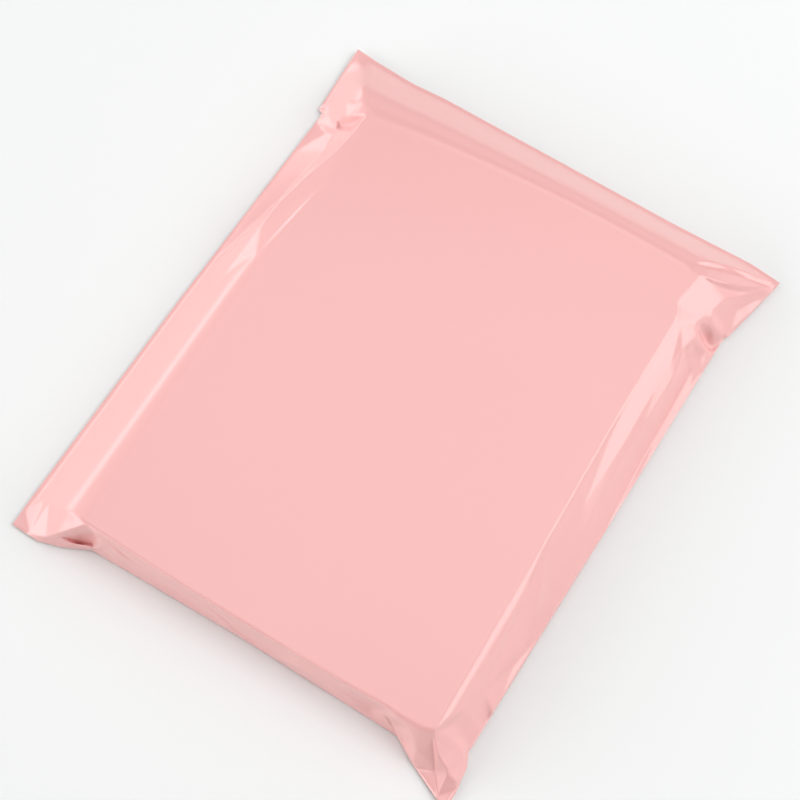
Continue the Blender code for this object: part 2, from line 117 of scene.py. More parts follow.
# The film's finish: faint clouds in its pink, a fine ripple, and how strongly it mirrors
CLOUD_SCALE, CLOUD_DETAIL = 14.0, 2.0
CLOUD_TINTS = (0.985, 1.0)
RIPPLE_SCALE, RIPPLE_DETAIL = 90.0, 3.0
RIPPLE_HEIGHT = 0.0006
FILM_IOR = 1.75

# The table, a sheet just below the bag
FLOOR_HALF = 2.0
FLOOR_DROP = 0.0001
FLOOR_ROUGHNESS = 0.9
FLOOR_SHINE = 0.1

# Where the camera looks, and the width of its film in mm
AIM = (-0.00077, -0.00172, 0)
SENSOR_WIDTH = 36

# Softboxes round the bag: name, direction, width, height and radiance
SOFTBOX_DISTANCE = 2.5
SOFTBOXES = (
    ("left_low_softbox", (-0.95, 0.28, 0.08), 2.4, 0.9, 3.2),
    ("left_softbox", (-0.74, 0.18, 0.62), 2.4, 1.9, 0.8),
    ("front_left_softbox", (-0.64, -0.71, 0.30), 3.2, 1.4, 3.4),
    ("top_softbox", (-0.15, 0.22, 0.95), 1.8, 1.4, 1.45),
    ("right_high_softbox", (0.40, 0.18, 0.90), 2.4, 0.3, 4.0),
    ("right_softbox", (0.71, 0.32, 0.64), 2.4, 1.9, 3.1),
    ("right_low_softbox", (0.98, 0.05, 0.12), 2.0, 0.7, 0.9),
    ("back_softbox", (-0.20, 0.90, 0.40), 2.4, 1.4, 0.6),
)

# A part of the film that is drawn taut over creases: an origin with two arms, and in shares of
# these a rim, where the film stays as it lies, and creases with their height above the table in mm
Gather = namedtuple("Gather", "origin across along rim creases")


class FilmSettings(bpy.types.PropertyGroup):
    side_cells: IntProperty(
        name="Side cells", description="Cells across each side slope", default=70, min=8
    )
    table_columns: IntProperty(
        name="Table columns", description="Cells across the goods", default=130, min=8
    )
    flap_cells: IntProperty(
        name="Flap cells", description="Cells from the fold to the goods", default=70, min=6
    )
    table_rows: IntProperty(
        name="Table rows", description="Cells along the goods", default=190, min=12
    )
    wall_cells: IntProperty(
        name="Wall cells", description="Cells down the bottom wall", default=30, min=4
    )
    softness: IntProperty(
        name="Softness", description="Passes that round the creases", default=2, min=0
    )
    colour: FloatVectorProperty(
        name="Film", description="Pink of the film", subtype="COLOR", default=(0.91, 0.47, 0.455)
    )
    roughness: FloatProperty(
        name="Roughness", description="Satin of the film", default=0.26, min=0, max=1, subtype="FACTOR"
    )
    orange_peel: FloatProperty(
        name="Orange peel",
        description="Strength of the film's fine ripple",
        default=0.06,
        min=0,
        max=1,
        subtype="FACTOR",
    )


class StageSettings(bpy.types.PropertyGroup):
    floor: FloatVectorProperty(
        name="Floor", description="Colour of the table", subtype="COLOR", default=(0.905, 0.915, 0.91)
    )
    lens: FloatProperty(
        name="Lens", description="Focal length", default=66.0, unit="CAMERA"
    )
    azimuth: FloatProperty(
        name="Azimuth",
        description="How far round the camera stands",
        default=math.radians(33.212),
        subtype="ANGLE",
    )
    elevation: FloatProperty(
        name="Elevation",
        description="How high the camera stands",
        default=math.radians(70.261),
        subtype="ANGLE",
    )
    roll: FloatProperty(
        name="Roll",
        description="Turn of the camera",
        default=math.radians(-0.525),
        subtype="ANGLE",
    )
    distance: FloatProperty(
        name="Distance", description="Camera to the bag", default=0.709, unit="LENGTH"
    )
    sky_light: FloatProperty(
        name="Sky light", description="Light all round", default=0.05, min=0, max=1, subtype="FACTOR"
    )
    backdrop: FloatProperty(
        name="Backdrop",
        description="White that the camera sees behind the table",
        default=0.92,
        min=0,
        max=1,
        subtype="FACTOR",
    )


def even(cells):
    return np.linspace(0, 1, cells + 1)


def eased(cells):
    """Shares that lie close together at both ends, where the corners of the goods are."""
    share = even(cells)
    return EVEN_SHARE * share + CORNER_SHARE * (0.5 - 0.5 * np.cos(math.pi * share))


def ramp(share, foot, shoulder):
    """0 to 1 with a straight middle, rounded over the given shares at its foot and its shoulder."""
    share = np.clip(share, 0, 1)
    slope = 1 / (1 - foot / 2 - shoulder / 2)
    straight = slope * (share - foot / 2)
    low = slope * share**2 / (2 * foot)
    high = 1 - slope * (1 - share) ** 2 / (2 * shoulder)
    return np.where(share < foot, low, np.where(share > 1 - shoulder, high, straight))


def span(points, shares):
    """Points along a polyline, at shares of its length."""
    points = np.array(points, float)
    runs = np.linalg.norm(np.diff(points, axis=0), axis=1)
    along = np.concatenate([[0], np.cumsum(runs)]) / runs.sum()
    return np.stack([np.interp(shares, along, points[:, axis]) for axis in range(3)], axis=1)


def bowed(start, end, bow, shares):
    """A line that bows along +Y between two places."""
    straight = np.array(start) + shares[:, None] * (np.array(end) - np.array(start))
    straight[:, 1] += 4 * bow * shares * (1 - shares)
    return straight


def line(*spans):
    """Spans joined end to end."""
    return np.concatenate([spans[0]] + [later[1:] for later in spans[1:]])


def coons(first_row, last_row, first_column, last_column, across, down):
    """A patch of net stretched between its four edges."""
    s = across[None, :, None]
    t = down[:, None, None]
    rows = (1 - t) * first_row[None] + t * last_row[None]
    columns = (1 - s) * first_column[:, None] + s * last_column[:, None]
    corners = (1 - t) * ((1 - s) * first_row[0] + s * first_row[-1]) + t * (
        (1 - s) * last_row[0] + s * last_row[-1]
    )
    return rows + columns - corners


def net(rows, columns, across, down):
    """Nine patches between four lines across the bag and four lines along it."""
    x_stops = np.cumsum([0] + [len(part) - 1 for part in across])
    y_stops = np.cumsum([0] + [len(part) - 1 for part in down])
    grid = np.empty((y_stops[-1] + 1, x_stops[-1] + 1, 3))
    for j in range(3):
        ys = slice(y_stops[j], y_stops[j + 1] + 1)
        for i in range(3):
            xs = slice(x_stops[i], x_stops[i + 1] + 1)
            grid[ys, xs] = coons(
                rows[j][xs], rows[j + 1][xs], columns[i][ys], columns[i + 1][ys], across[i], down[j]
            )
    return grid


def goods_corner(side, end):
    """A corner of the goods: side is -1 left or 1 right, end is -1 bottom or 1 at the flap."""
    x = side * GOODS_WIDTH / 2
    y = end * GOODS_LENGTH / 2
    turned_x = x * math.cos(GOODS_TURN) - y * math.sin(GOODS_TURN)
    turned_y = x * math.sin(GOODS_TURN) + y * math.cos(GOODS_TURN)
    skew = side * GOODS_SKEW if end > 0 else 0
    return np.array([GOODS_X + turned_x, GOODS_Y + turned_y + skew, 0])


def beside(point, right=0, up=0, height=0):
    """A place given in millimetres from another one."""
    return np.array(point) + np.array([right, up, height]) * MM


def outline():
    """The named places of the bag's edge and of the goods' corners."""
    half = BAG_WIDTH / 2
    fold = BAG_LENGTH / 2
    flap_end = fold - FLAP_DEPTH
    left = SIDE_PULL_LEFT - half
    right = half - SIDE_PULL_RIGHT
    goods = {
        "top_left": goods_corner(-1, 1),
        "top_right": goods_corner(1, 1),
        "bottom_left": goods_corner(-1, -1),
        "bottom_right": goods_corner(1, -1),
    }
    tip_left = np.array([TIP_PULL - half, -fold, WELD_LIFT])
    tip_right = np.array([half - TIP_PULL, -fold, WELD_LIFT])

    def foot(x):
        ends = goods["bottom_left"], goods["bottom_right"]
        y = np.interp(x, [end[0] for end in ends], [end[1] for end in ends])
        return np.array([x, y - WALL_BATTER, FOOT_LIFT])

    return goods | {
        "fold_left": np.array([-half, fold, FOLD_LIFT]),
        "fold_right": np.array([half, fold, FOLD_LIFT]),
        "flap_left": np.array([FLAP_TAPER_LEFT - half, flap_end, WELD_LIFT]),
        "flap_right": np.array([half - FLAP_TAPER_RIGHT, flap_end + FLAP_RISE_RIGHT, WELD_LIFT]),
        "weld_left": np.array([left, flap_end - WELD_START_LEFT, WELD_LIFT]),
        "weld_right": np.array([right, flap_end - WELD_START_RIGHT, WELD_LIFT]),
        "low_left": beside([left, goods["bottom_left"][1], WELD_LIFT], -0.6, -1),
        "low_right": beside([right, goods["bottom_right"][1], WELD_LIFT], 2.4, -2),
        "tip_left": tip_left,
        "tip_right": tip_right,
        "ear_left": beside(tip_left, EAR_FLAT / MM),
        "ear_right": beside(tip_right, -6.5, 2.2),
        "foot_left": foot(tip_left[0] + LEFT_EAR_LENGTH),
        "foot_right": foot(tip_right[0] - RIGHT_EAR_LENGTH),
    }


def edges_of_the_bag(at, across, down):
    """The four outer lines, which the front and the back film share."""
    crest = beside(at["fold_left"], 36, -2.4, 0.6)
    fold = line(
        span([at["fold_left"], beside(at["fold_left"], 13, -1.2)], across[0]),
        span(
            [
                beside(at["fold_left"], 13, -1.2),
                crest,
                beside(at["fold_left"], 55, -1.3, 0.9),
                beside(at["fold_right"], -60, -0.4, 0.9),
                beside(at["fold_right"], -17, 1.4, 0.3),
                beside(at["fold_right"], -4, 0.5),
            ],
            across[1],
        ),
        span([beside(at["fold_right"], -4, 0.5), at["fold_right"]], across[2]),
    )
    bottom = line(
        span([at["tip_left"], at["ear_left"]], across[0]),
        span(
            [
                at["ear_left"],
                beside(at["ear_left"], 11, 3.6, -1),
                at["foot_left"],
                beside((at["foot_left"] + at["foot_right"]) / 2, 0, 1.2),
                at["foot_right"],
                beside(at["foot_right"], 11.5, -6.2, 0.7),
                at["ear_right"],
            ],
            across[1],
        ),
        span([at["ear_right"], at["tip_right"]], across[2]),
    )
    left = line(
        span([at["fold_left"], at["flap_left"]], down[0]),
        span(
            [
                at["flap_left"],
                beside(at["flap_left"], 2.9, -1.2),
                at["weld_left"],
                beside((at["weld_left"] + at["low_left"]) / 2, -0.8),
                at["low_left"],
            ],
            down[1],
        ),
        span([at["low_left"], at["tip_left"]], down[2]),
    )
    right = line(
        span([at["fold_right"], beside(at["flap_right"], 2.9, 14), at["flap_right"]], down[0]),
        span(
            [
                at["flap_right"],
                beside(at["flap_right"], -1.4, -1.6),
                at["weld_right"],
                beside((at["weld_right"] + at["low_right"]) / 2, -1.2),
                beside(at["low_right"], -2.8, 10),
                beside(at["low_right"], -3.1, 6.4),
                at["low_right"],
            ],
            down[1],
        ),
        span([at["low_right"], beside(at["tip_right"], -0.3, 9), at["tip_right"]], down[2]),
    )
    return fold, bottom, left, right


def front_film(at, outer, across, down):
    """The plan of the front film, and the height that the goods lift it to."""
    fold, bottom, left, right = outer
    top_row = line(
        span([at["flap_left"], at["top_left"]], across[0]),
        bowed(at["top_left"], at["top_right"], GOODS_BOW_TOP, across[1]),
        span([at["top_right"], at["flap_right"]], across[2]),
    )
    low_row = line(
        span([at["low_left"], at["bottom_left"]], across[0]),
        bowed(at["bottom_left"], at["bottom_right"], -GOODS_BOW_BOTTOM, across[1]),
        span([at["bottom_right"], at["low_right"]], across[2]),
    )
    left_column = line(
        span([fold[len(across[0]) - 1], at["top_left"]], down[0]),
        span([at["top_left"], at["bottom_left"]], down[1]),
        span([at["bottom_left"], at["ear_left"]], down[2]),
    )
    right_column = line(
        span([fold[-len(across[2])], at["top_right"]], down[0]),
        span([at["top_right"], at["bottom_right"]], down[1]),
        span([at["bottom_right"], at["ear_right"]], down[2]),
    )
    film = net(
        [fold, top_row, low_row, bottom], [left, left_column, right_column, right], across, down
    )
    side = np.concatenate(
        [
            ramp(across[0], SIDE_FOOT, SIDE_SHOULDER),
            np.ones(len(across[1]) - 2),
            ramp(1 - across[2], SIDE_FOOT, SIDE_SHOULDER),
        ]
    )
    end = np.concatenate(
        [
            ramp(down[0], FLAP_FOOT, FLAP_SHOULDER),
            np.ones(len(down[1]) - 2),
            ramp(1 - down[2], WALL_FOOT, WALL_SHOULDER),
        ]
    )
    film[:, :, 2] += GOODS_HEIGHT * end[:, None] * side[None, :]
    return film


def back_film(at, outer, across, down):
    """The back panel: flat under the goods, stepping out where the flap lies over it."""
    fold, bottom, left, right = outer
    inset = np.array([BACK_INSET, 0, 0])
    flap_shift = np.array([0, 0, FLAP_PLIES / 4 - WELD_LIFT])
    base_shift = np.array([0, BACK_INSET_LOW, -WELD_LIFT])
    flap_left = at["flap_left"] + inset + flap_shift
    flap_right = at["flap_right"] - inset + flap_shift
    base_left = at["low_left"] + inset + base_shift
    base_right = at["low_right"] - inset + base_shift
    flap_row = line(
        span([at["flap_left"], flap_left], across[0]),
        span([flap_left, flap_right], across[1]),
        span([flap_right, at["flap_right"]], across[2]),
    )
    base_row = line(
        span([at["low_left"], base_left], across[0]),
        span([base_left, base_right], across[1]),
        span([base_right, at["low_right"]], across[2]),
    )
    left_column = line(
        span([fold[len(across[0]) - 1], flap_left], down[0]),
        span([flap_left, base_left], down[1]),
        span([base_left, at["ear_left"]], down[2]),
    )
    right_column = line(
        span([fold[-len(across[2])], flap_right], down[0]),
        span([flap_right, base_right], down[1]),
        span([base_right, at["ear_right"]], down[2]),
    )
    film = net(
        [fold, flap_row, base_row, bottom], [left, left_column, right_column, right], across, down
    )
    edge = len(down[0]) - 1
    film[edge + 1, 1:-1, :2] = film[edge, 1:-1, :2] - np.array([0, FLAP_EDGE_STEP])
    flap_cover = np.minimum(1, np.arange(film.shape[1]) / FLAP_EDGE_CELLS)
    flap_cover = np.minimum(flap_cover, flap_cover[::-1])
    film[edge + 1, 1:-1, 2] = film[edge, 1:-1, 2] + (FLAP_PLIES * flap_cover)[1:-1]
    table = slice(edge + FLAP_EDGE_CELLS, edge + len(down[1]))
    film[table, len(across[0]) - 1 : -(len(across[2]) - 1), 2] = 0
    return film


def gathers(at):
    """The film's gathers: the four ears, the break along the right slope, and the bottom wall."""

    def ear(goods, corner):
        origin, tip = at[goods][:2], at[corner][:2]
        return origin, np.array([tip[0], origin[1]]), np.array([origin[0], tip[1]])

    wall_foot = at["bottom_left"][:2] - np.array([0, WALL_BATTER])
    top_left = Gather(
        *ear("top_left", "fold_left"),
        [(-0.05, 0.1), (0.2, 0.16), (0.5, 0.16), (0.8, 0.12), (0.96, 0.1), "flap_left", (0.84, -0.03),
         "weld_left", (0.81, -0.59), (0.82, -1.05), (0.85, -1.54), (0.8, -2.4), (0.42, -2.6),
         (0.1, -2.2), (-0.1, -1), (-0.12, -0.1)],
        [
            # The flap's lower edge, and the tab that turns under it
            [(0.84, -0.03), (0.686, -0.027, 6), (0.507, -0.059, 11.5), (0.335, -0.062, 17),
             (0.212, -0.033, 21.5), (0.03, 0.01, 25)],
            [(0.686, -0.027, 6), (0.405, -0.194, 11), "weld_left"],
            # The valley from the tab to the corner of the goods
            [(0.405, -0.194, 11), (0.407, -0.097, 9), (0.235, -0.079, 14.8), (0.126, -0.033, 19.3),
             (0.03, 0.01, 25)],
            # The crease that leaves the corner and runs down the slope
            [(0.03, 0.01, 25), (0.041, -0.28, 24.9), (0.064, -0.446, 24.6), (0.128, -0.687, 23.8),
             (0.234, -0.961, 22.8), (0.349, -1.431, 21.3), (0.37, -1.78, 20.2), (0.42, -2.6)],
            # The foot of its steep side, and the hollow below the tab
            [(0.405, -0.194, 11), (0.378, -0.479, 9.5), (0.454, -0.864, 8), (0.491, -1.249, 7),
             (0.8, -2.4)],
            [(0.427, -0.229, 7.5), (0.584, -0.221, 4), (0.716, -0.217, 2.6)],
        ],
    )
    slope = Gather(
        at["top_right"][:2], at["weld_right"][:2], at["bottom_right"][:2],
        [(0.1, 0.05), (0.42, 0.08), (0.8, 0.04), (0.93, 0.09), (0.94, 0.3), (0.9, 0.6), (0.8, 0.85),
         (0.4, 0.86), (0.05, 0.6), (0.03, 0.3)],
        [
            # The break, the foot of its steep side, and the span behind it
            [(0.42, 0.08), (0.53, 0.119, 18), (0.58, 0.148, 17.3), (0.557, 0.202, 17),
             (0.52, 0.278, 16.5), (0.512, 0.356, 16.5), (0.512, 0.434, 16), (0.525, 0.518, 15),
             (0.559, 0.581, 13.5), (0.59, 0.638, 11), (0.615, 0.701, 7.5), (0.625, 0.766, 4.5),
             (0.8, 0.85)],
            [(0.8, 0.04), (0.776, 0.089, 5), (0.799, 0.135, 3.3), (0.806, 0.218, 2.8), (0.8, 0.29, 2.4),
             (0.9, 0.6)],
            [(0.404, 0.142, 20.5), (0.389, 0.208, 20), (0.389, 0.3, 19.8), (0.355, 0.39, 19.5),
             (0.328, 0.476, 19.3), (0.323, 0.57, 19)],
        ],
    )
    top_right = Gather(
        *ear("top_right", "fold_right"),
        [(-0.1, 0.04), (-0.17, 0.16), (0.3, 0.62), (0.9, 0.95), (0.99, 0.72), (0.9, 0.1), "flap_right",
         (0.74, -0.4), "weld_right", (0.74, -1.1), (0.66, -1.3), (0.34, -1.14), (0.12, -0.9),
         (-0.03, -0.6)],
        [
            # The valley beside the wing's upper ridge, and that ridge
            [(-0.17, 0.16), (-0.023, 0.17, 23.5), (0.278, 0.416, 17), (0.624, 0.677, 8.5),
             (0.908, 0.833, 3)],
            [(-0.1, 0.04), (0.05, 0.03, 25), (0.194, 0.094, 24), (0.406, 0.225, 20), (0.62, 0.424, 14),
             (0.835, 0.675, 7.5)],
            # The hollow between the wing's two ridges
            [(0.05, 0.03, 25), (0.233, 0.034, 22), (0.537, 0.264, 14), (0.73, 0.493, 9.5),
             (0.835, 0.675, 7.5)],
            # The lower ridge, back from the wing's end to the pocket
            [(0.835, 0.675, 7.5), (0.724, 0.435, 9.5), (0.628, 0.263, 12), (0.504, 0.032, 16),
             (0.476, -0.091, 17), (0.435, -0.288, 18), (0.461, -0.406, 17.5), (0.365, -0.493, 19.5),
             (0.33, -0.662, 20.5)],
            # The film outside it, and the flap's edge over the pocket
            [(0.789, 0.36, 5), (0.689, 0.099, 7), (0.602, -0.249, 8.5)],
            [(0.33, -0.662, 20.5), (0.541, -0.512, 12.5), (0.685, -0.398, 6), "flap_right"],
            # The pocket, and its lip
            [(0.411, -0.633, 12.5), (0.517, -0.603, 5.5), (0.668, -0.575, 1.8), (0.74, -0.4)],
            [(0.541, -0.683, 5), (0.635, -0.678, 2), (0.699, -0.669, 1.2)],
            [(0.33, -0.662, 20.5), (0.419, -0.751, 17.5), (0.523, -0.785, 13), (0.638, -0.787, 7),
             "weld_right"],
            # The arch that the break of the slope starts from
            [(0.34, -1.14), (0.392, -1.011, 18.8), (0.462, -0.904, 16.8), (0.568, -0.822, 11)],
            [(0.459, -1.161, 14), (0.509, -1.018, 10), (0.584, -0.967, 6.5)],
        ],
    )
    wall = Gather(
        at["bottom_left"][:2], at["bottom_right"][:2], wall_foot,
        [(0.02, 0.02), (0.3, 0.17), (0.6, 0.19), (0.8, 0.14), (0.9, 0.08), (0.89, 0.5), (0.86, 0.98),
         (0.75, 0.98), (0.5, 0.98), (0.25, 0.98), (0.1, 0.97), (0.05, 0.55)],
        [
            [(0.05, 0.55), (0.106, 0.543, 18), (0.164, 0.523, 15.5), (0.221, 0.503, 13),
             (0.31, 0.636, 7.5), (0.37, 0.749, 4)],
            [(0.428, 0.757, 8), (0.474, 0.647, 6), (0.555, 0.845, 3)],
            [(0.616, 0.315, 21.5), (0.637, 0.358, 21.5), (0.749, 0.238, 22), (0.817, 0.116, 22),
             (0.863, 0.128, 20)],
            [(0.643, 0.71, 15), (0.754, 0.533, 14), (0.85, 0.233, 11)],
        ],
    )
    bottom_right = Gather(
        *ear("bottom_right", "tip_right"),
        [(-0.173, 0.062), (-0.33, 0.1), (-0.43, 0.15), "foot_right", (-0.05, 0.64), "ear_right",
         (0.93, 0.95), (0.98, 0.48), "low_right", (0.79, -0.19), (0.8, -0.75), (0.3, -0.8),
         (0.01, -0.05)],
        [
            # The edge of the goods' corner, the wall's last ridge, and the ridge down from the corner
            [(-0.173, 0.062), (0.01, -0.05)],
            [(-0.43, 0.15), (-0.923, 0.164, 10), "foot_right"],
            [(-0.173, 0.062), (-0.13, 0.372, 14), (-0.05, 0.64)],
            # The fold across the ear, and the valley down its middle
            [(0.196, 0.193, 15), (0.095, 0.429, 9.5), (-0.05, 0.64)],
            [(0.01, -0.05), (0.196, 0.193, 15), (0.427, 0.467, 5.2), (0.712, 0.835, 1.8), "ear_right"],
            # The petal's two rims, and the slope's hollow behind it
            [(0.01, -0.05), (0.135, 0.088, 21), (0.346, 0.286, 16.5), (0.654, 0.395, 10.5),
             (0.91, 0.456, 5.5), (0.98, 0.48)],
            [(0.01, -0.05), (0.341, -0.158, 17), (0.621, -0.175, 10), (0.79, -0.19)],
            [(0.3, -0.8), (0.341, -0.418, 15.5), (0.641, -0.304, 6), (0.79, -0.19)],
        ],
    )
    bottom_left = Gather(
        *ear("bottom_left", "tip_left"),
        [(0, 0), (0.1, -0.04), (0.2, -0.04), (0.3, -0.04), (0.4, -0.04), (0.5, -0.04), (0.6, -0.03),
         (0.7, -0.02), (0.8, 0), (0.9, 0.05), (0.98, 0.5), (0.98, 0.96), (0.75, 0.985), "ear_left",
         (0.4, 0.78), (0.15, 0.58), "foot_left", (-0.2, 0.45), (-0.2, 0.1)],
        [
            # The ear's ridge, and the end of the wall under it
            [(0, 0), (0.097, 0.243, 22), (0.188, 0.408, 18.5), (0.341, 0.647, 13.3),
             (0.482, 0.825, 7.5), "ear_left"],
            [(0, 0), (-0.054, 0.086, 17), (0.155, 0.37, 9), "foot_left"],
            # The pocket beside it
            [(0.231, 0.499, 5.5), (0.118, 0.452, 1.4), (0.004, 0.431, 0.7)],
        ],
    )
    return [top_left, slope, top_right, wall, bottom_right, bottom_left]


def height_over(film):
    """A function that gives the height of a film above a place of the plan."""
    rows, columns = film.shape[:2]
    faces = [
        (j * columns + i, (j + 1) * columns + i, (j + 1) * columns + i + 1, j * columns + i + 1)
        for j in range(rows - 1)
        for i in range(columns - 1)
    ]
    tree = BVHTree.FromPolygons([Vector(place) for place in film.reshape(-1, 3)], faces)

    def height(place):
        above = Vector((place[0], place[1], 1))
        met = tree.ray_cast(above, Vector((0, 0, -1)))[0]
        return met.z if met else tree.find_nearest(above - Vector((0, 0, 1)))[0].z

    return height


def gathered(film, parts, at):
    """The film with each of its gathers drawn taut in turn."""
    for part in parts:
        height = height_over(film)

        def placed(mark):
            if isinstance(mark, str):
                return np.array(at[mark])
            plan = part.origin + mark[0] * (part.across - part.origin)
            plan = plan + mark[1] * (part.along - part.origin)
            return np.array([*plan, mark[2] * MM if len(mark) > 2 else height(plan)])

        rim = [placed(mark) for mark in part.rim]
        places = list(rim)
        runs = [(k, (k + 1) % len(rim)) for k in range(len(rim))]
        for crease in part.creases:
            first = len(places)
            places += [placed(mark) for mark in crease]
            runs += [(k, k + 1) for k in range(first, len(places) - 1)]
        flat = [Vector(place[:2]) for place in places]
        corners, _, faces, origins = delaunay_2d_cdt(flat, runs, [], 1, SAME_MARK)[:4]
        heights = np.array(
            [places[found[0]][2] if found else height(spot) for spot, found in zip(corners, origins)]
        )
        corners = np.array([spot[:] for spot in corners])
        plan = film[:, :, :2]
        taut = np.full(film.shape[:2], np.nan)
        for face in faces:
            a, b, c = corners[face]
            turn = np.linalg.inv(np.array([b - a, c - a]).T)
            weights = (plan - a) @ turn.T
            inside = (weights.min(axis=2) >= -SAME_MARK) & (weights.sum(axis=2) <= 1 + SAME_MARK)
            rise = heights[face[0]] + weights @ (heights[face[1:]] - heights[face[0]])
            taut[inside] = rise[inside]
        away = np.full(film.shape[:2], np.inf)
        for start, end in zip(rim, rim[1:] + rim[:1]):
            run = end[:2] - start[:2]
            share = np.clip(((plan - start[:2]) @ run) / (run @ run), 0, 1)
            gap = np.linalg.norm(plan - start[:2] - share[..., None] * run, axis=2)
            away = np.minimum(away, gap)
        blend = np.clip(away / GATHER_MARGIN, 0, 1)
        blend[[0, -1], :] = 0
        blend[:, [0, -1]] = 0
        inside = np.isfinite(taut)
        film[inside, 2] += (blend * (taut - film[:, :, 2]))[inside]
    return film


def eased_off(film, passes):
    """Rounds the creases of a film a little."""
    height = film[:, :, 2]
    for _ in range(passes):
        height[1:-1] = height[1:-1] / 2 + (height[:-2] + height[2:]) / 4
        height[:, 1:-1] = height[:, 1:-1] / 2 + (height[:, :-2] + height[:, 2:]) / 4


def keep_apart(front, back):
    """Lifts the front film wherever it would touch the back panel."""
    height = height_over(back)
    for row in front[1:-1, 1:-1]:
        for place in row:
            place[2] = max(place[2], height(place) + FILM_GAP)


def mesh_of(front, back):
    """One closed mesh: the net of the front film, and a back panel stretched inside its edge."""
    rows, columns = front.shape[:2]
    mesh = bmesh.new()
    net_of = [[mesh.verts.new(front[j, i]) for i in range(columns)] for j in range(rows)]
    for j in range(rows - 1):
        for i in range(columns - 1):
            ring = ((j, i), (j + 1, i), (j + 1, i + 1), (j, i + 1))
            mesh.faces.new([net_of[row][column] for row, column in ring])
    rim = net_of[0] + [row[-1] for row in net_of[1:-1]] + net_of[-1][::-1]
    rim += [row[0] for row in net_of[-2:0:-1]]
    inner = back[1:-1, 1:-1].reshape(-1, 3)
    flat = [vert.co.to_2d() for vert in rim] + [Vector(place[:2]) for place in inner]
    runs = [(k, (k + 1) % len(rim)) for k in range(len(rim))]
    spots, _, faces, origins = delaunay_2d_cdt(flat, runs, [], 1, SAME_CORNER)[:4]
    panel = []
    for spot, found in zip(spots, origins):
        if found and found[0] < len(rim):
            panel.append(rim[found[0]])
        else:
            panel.append(mesh.verts.new((*spot, inner[found[0] - len(rim)][2])))
    for face in faces:
        mesh.faces.new([panel[k] for k in reversed(face)])
    return mesh


class Shade:
    """A socket of a material's node tree that takes part in Python sums."""

    def __init__(self, tree, socket=None):
        self.tree = tree
        self.socket = socket

    def add(self, kind, settings=None, values=None, out=0):
        """A new node: its type, its settings, and the values or links of its sockets."""
        node = self.tree.nodes.new(kind)
        for name, value in (settings or {}).items():
            setattr(node, name, value)
        for name, value in (values or {}).items():
            if isinstance(value, Shade):
                self.tree.links.new(value.socket, node.inputs[name])
            else:
                node.inputs[name].default_value = value
        return Shade(self.tree, node.outputs[out])

    def sum(self, operation, first, second):
        return self.add("ShaderNodeMath", {"operation": operation}, {0: first, 1: second})

    def __add__(self, other):
        return self.sum("ADD", self, other)

    def __radd__(self, other):
        return self.sum("ADD", other, self)

    def __mul__(self, other):
        return self.sum("MULTIPLY", self, other)

    def __rmul__(self, other):
        return self.sum("MULTIPLY", other, self)


def film_material(settings):
    """Pink satin film: opaque, a little uneven in its pink, with a fine ripple."""
    material = bpy.data.materials.new("pink_film")
    material.use_nodes = True
    tree = material.node_tree
    shader = tree.nodes["Principled BSDF"]
    new = Shade(tree)
    place = new.add("ShaderNodeTexCoord", out=3)
    clouds = new.add(
        "ShaderNodeTexNoise",
        values={"Vector": place, "Scale": CLOUD_SCALE, "Detail": CLOUD_DETAIL},
    )
    ripple = new.add(
        "ShaderNodeTexNoise",
        values={"Vector": place, "Scale": RIPPLE_SCALE, "Detail": RIPPLE_DETAIL},
    )
    bump = new.add(
        "ShaderNodeBump",
        values={"Height": ripple, "Strength": settings.orange_peel, "Distance": RIPPLE_HEIGHT},
    )
    tint = [Vector(settings.colour) * share for share in CLOUD_TINTS]
    colour = new.add(
        "ShaderNodeMix",
        {"data_type": "RGBA"},
        {"Factor": clouds, 6: (*tint[0], 1), 7: (*tint[1], 1)},
        out=2,
    )
    tree.links.new(colour.socket, shader.inputs["Base Color"])
    tree.links.new(bump.socket, shader.inputs["Normal"])
    shader.inputs["Roughness"].default_value = settings.roughness
    shader.inputs["IOR"].default_value = FILM_IOR
    return material


def finished(name, data, material):
    """Puts a mesh in the scene as the piece that stands for the bag's solid."""
    piece = bpy.data.objects.new(name, data)
    bpy.context.scene.collection.objects.link(piece)
    data.materials.clear()
    data.materials.append(material)
    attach(piece, BODY)
    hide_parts(NODE)


class MAILER_OT_film(bpy.types.Operator):
    """Make the creased film envelope"""

    bl_idname = "mailer.film"
    bl_label = "Film envelope"

    def execute(self, context):
        settings = context.scene.mailer_film
        fine = [
            [even(settings.side_cells), eased(settings.table_columns), even(settings.side_cells)],
            [even(settings.flap_cells), eased(settings.table_rows), even(settings.wall_cells)],
        ]
        coarse = [
            [even(start), eased(middle), even(end)]
            for start, middle, end in (BACK_CELLS_ACROSS, BACK_CELLS_DOWN)
        ]
        at = outline()
        front = gathered(front_film(at, edges_of_the_bag(at, *fine), *fine), gathers(at), at)
        eased_off(front, settings.softness)
        back = back_film(at, edges_of_the_bag(at, *coarse), *coarse)
        keep_apart(front, back)
        middle = (front.reshape(-1, 3).min(axis=0) + front.reshape(-1, 3).max(axis=0)) / 2
        middle[2] = 0
        mesh = mesh_of(front - middle, back - middle)
        data = bpy.data.meshes.new("film_envelope")
        mesh.to_mesh(data)
        mesh.free()
        data.shade_smooth()
        data.set_sharp_from_angle(angle=SHARP_ANGLE)
        finished("film_envelope", data, film_material(settings))
        return {"FINISHED"}


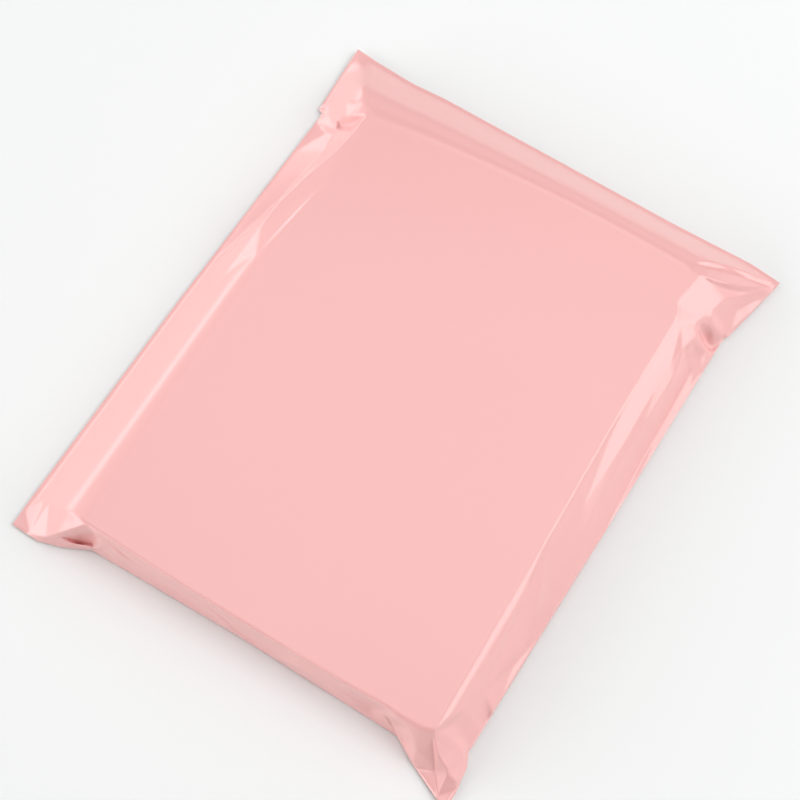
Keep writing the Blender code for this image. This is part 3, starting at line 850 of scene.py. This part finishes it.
class MAILER_OT_stage(bpy.types.Operator):
    """Make the floor, the lights and the camera"""

    bl_idname = "mailer.stage"
    bl_label = "Stage"

    def execute(self, context):
        settings = context.scene.mailer_stage
        scene = context.scene
        floor_mesh = bmesh.new()
        bmesh.ops.create_grid(floor_mesh, x_segments=1, y_segments=1, size=FLOOR_HALF)
        data = bpy.data.meshes.new("floor")
        floor_mesh.to_mesh(data)
        floor_mesh.free()
        floor = bpy.data.objects.new("floor", data)
        floor.location = (0, 0, -FLOOR_DROP)
        scene.collection.objects.link(floor)
        material = bpy.data.materials.new("pale_table")
        material.use_nodes = True
        shader = material.node_tree.nodes["Principled BSDF"]
        shader.inputs["Base Color"].default_value = (*settings.floor, 1)
        shader.inputs["Roughness"].default_value = FLOOR_ROUGHNESS
        shader.inputs["Specular IOR Level"].default_value = FLOOR_SHINE
        data.materials.append(material)

        world = bpy.data.worlds.new("soft_room")
        world.use_nodes = True
        tree = world.node_tree
        background = tree.nodes["Background"]
        background.inputs["Color"].default_value = (1, 1, 1, 1)
        seen = Shade(tree).add("ShaderNodeLightPath")
        strength = seen * (settings.backdrop - settings.sky_light) + settings.sky_light
        tree.links.new(strength.socket, background.inputs["Strength"])
        scene.world = world

        for name, towards, width, height, radiance in SOFTBOXES:
            light = bpy.data.lights.new(name, "AREA")
            light.shape = "RECTANGLE"
            light.size = width
            light.size_y = height
            light.energy = radiance * math.pi * width * height
            lamp = bpy.data.objects.new(name, light)
            lamp.location = Vector(towards).normalized() * SOFTBOX_DISTANCE
            lamp.rotation_euler = lamp.location.to_track_quat("Z", "Y").to_euler()
            scene.collection.objects.link(lamp)

        lens = bpy.data.cameras.new("camera")
        lens.lens = settings.lens
        lens.sensor_width = SENSOR_WIDTH
        camera = bpy.data.objects.new("camera", lens)
        azimuth, elevation, roll = settings.azimuth, settings.elevation, settings.roll
        back = Vector(
            (
                math.sin(azimuth) * math.cos(elevation),
                -math.cos(azimuth) * math.cos(elevation),
                math.sin(elevation),
            )
        )
        right = Vector((math.cos(azimuth), math.sin(azimuth), 0))
        up = back.cross(right)
        turned_right = right * math.cos(roll) + up * math.sin(roll)
        turned_up = up * math.cos(roll) - right * math.sin(roll)
        turn = Matrix((turned_right, turned_up, back)).transposed().to_4x4()
        camera.matrix_world = Matrix.Translation(Vector(AIM) + back * settings.distance) @ turn
        scene.collection.objects.link(camera)
        scene.camera = camera
        scene.view_settings.view_transform = "Standard"
        return {"FINISHED"}


class MAILER_PT_panel(bpy.types.Panel):
    """Lists the steps that make the bag"""

    bl_idname = "MAILER_PT_panel"
    bl_label = "Poly mailer bag"
    bl_space_type = "VIEW_3D"
    bl_region_type = "UI"
    bl_category = "Mailer"

    def draw(self, context):
        for step in STEPS:
            self.layout.operator(step.bl_idname)


STEPS = (MAILER_OT_film, MAILER_OT_stage)
CLASSES = (FilmSettings, StageSettings, *STEPS, MAILER_PT_panel)


def register():
    for made in CLASSES:
        bpy.utils.register_class(made)
    bpy.types.Scene.mailer_film = PointerProperty(type=FilmSettings)
    bpy.types.Scene.mailer_stage = PointerProperty(type=StageSettings)


def unregister():
    del bpy.types.Scene.mailer_film
    del bpy.types.Scene.mailer_stage
    for made in reversed(CLASSES):
        bpy.utils.unregister_class(made)


def main():
    register()
    bpy.ops.mailer.film()
    bpy.ops.mailer.stage()


if __name__ == "__main__":
    main()
